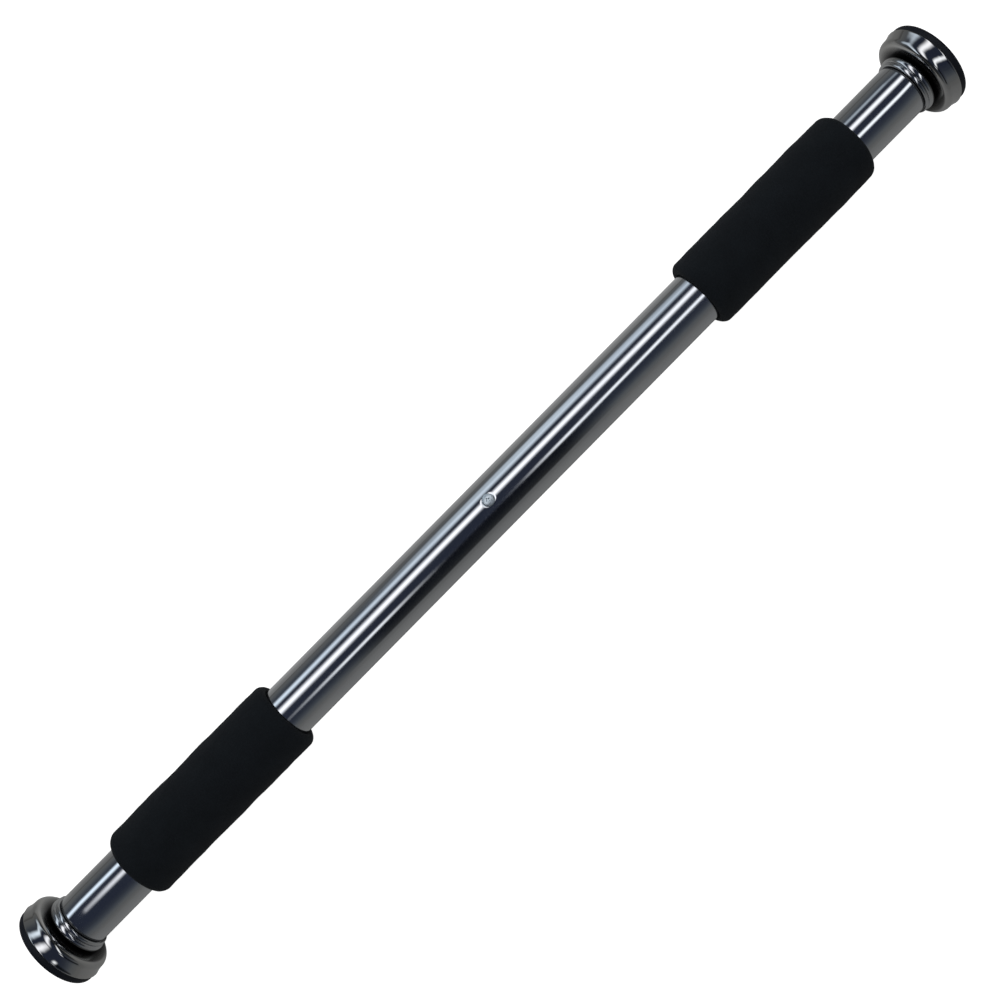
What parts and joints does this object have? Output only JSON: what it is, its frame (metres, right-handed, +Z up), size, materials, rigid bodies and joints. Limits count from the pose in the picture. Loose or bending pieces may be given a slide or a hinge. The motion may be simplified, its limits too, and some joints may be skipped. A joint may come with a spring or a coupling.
{
  "type": "doorway pull up bar",
  "caption": "Doorway pull up bar: a chrome tube with black foam grips, and a threaded chrome cup with a rubber pad that screws out at each end.",
  "frame": {"origin": "middle of the bar, on its axis, with both ends screwed fully in", "axes": "+X along the bar to the end with the right-hand thread, +Z up through the screw at the middle of the tube"},
  "size_m": [0.65, 0.05, 0.05],
  "materials": {
    "tube_chrome": "bright chrome plate",
    "end_chrome": "bright chrome plate on a pressing",
    "plated_steel": "plated, rolled thread",
    "zinc_fasteners": "zinc plate",
    "grip_foam": "matte closed-cell foam",
    "pad_rubber": "matte moulded rubber",
    "black_plastic": "satin moulded plastic",
    "nylon": "natural nylon"
  },
  "bodies": {
    "bar": {"outer_tube": "tube_chrome", "core_plug": "nylon", "core_screw": "zinc_fasteners", "left_foam_grip": "grip_foam", "left_thread_nut": "plated_steel", "left_tube_ring": "black_plastic", "right_foam_grip": "grip_foam", "right_thread_nut": "plated_steel", "right_tube_ring": "black_plastic"},
    "left_guide": {"left_guide_bush": "nylon"},
    "left_end": {"left_spindle": "plated_steel", "left_guide_clip": "zinc_fasteners", "left_spindle_plug": "zinc_fasteners", "left_collar": "end_chrome", "left_end_cup": "end_chrome", "left_cup_washer": "zinc_fasteners", "left_cup_bolt": "zinc_fasteners", "left_rubber_pad": "pad_rubber"},
    "right_guide": {"right_guide_bush": "nylon"},
    "right_end": {"right_spindle": "plated_steel", "right_guide_clip": "zinc_fasteners", "right_spindle_plug": "zinc_fasteners", "right_collar": "end_chrome", "right_end_cup": "end_chrome", "right_cup_washer": "zinc_fasteners", "right_cup_bolt": "zinc_fasteners", "right_rubber_pad": "pad_rubber"}
  },
  "joints": [
    {"name": "left_extend", "type": "slide", "parent": "bar", "child": "left_guide", "axis": [-1, 0, 0], "range_m": [0, 0.125]},
    {"name": "left_screw", "type": "hinge", "parent": "left_guide", "child": "left_end", "pos_m": [-0.303, 0, 0], "axis": [1, 0, 0], "range_deg": [0, 7500]},
    {"name": "right_extend", "type": "slide", "parent": "bar", "child": "right_guide", "axis": [1, 0, 0], "range_m": [0, 0.125]},
    {"name": "right_screw", "type": "hinge", "parent": "right_guide", "child": "right_end", "pos_m": [0.303, 0, 0], "axis": [1, 0, 0], "range_deg": [0, 7500]}
  ],
  "couplings": [
    {"joint": "left_extend", "follows": "left_screw", "m_per_rad": 0.00095493},
    {"joint": "right_extend", "follows": "right_screw", "m_per_rad": 0.00095493}
  ]
}
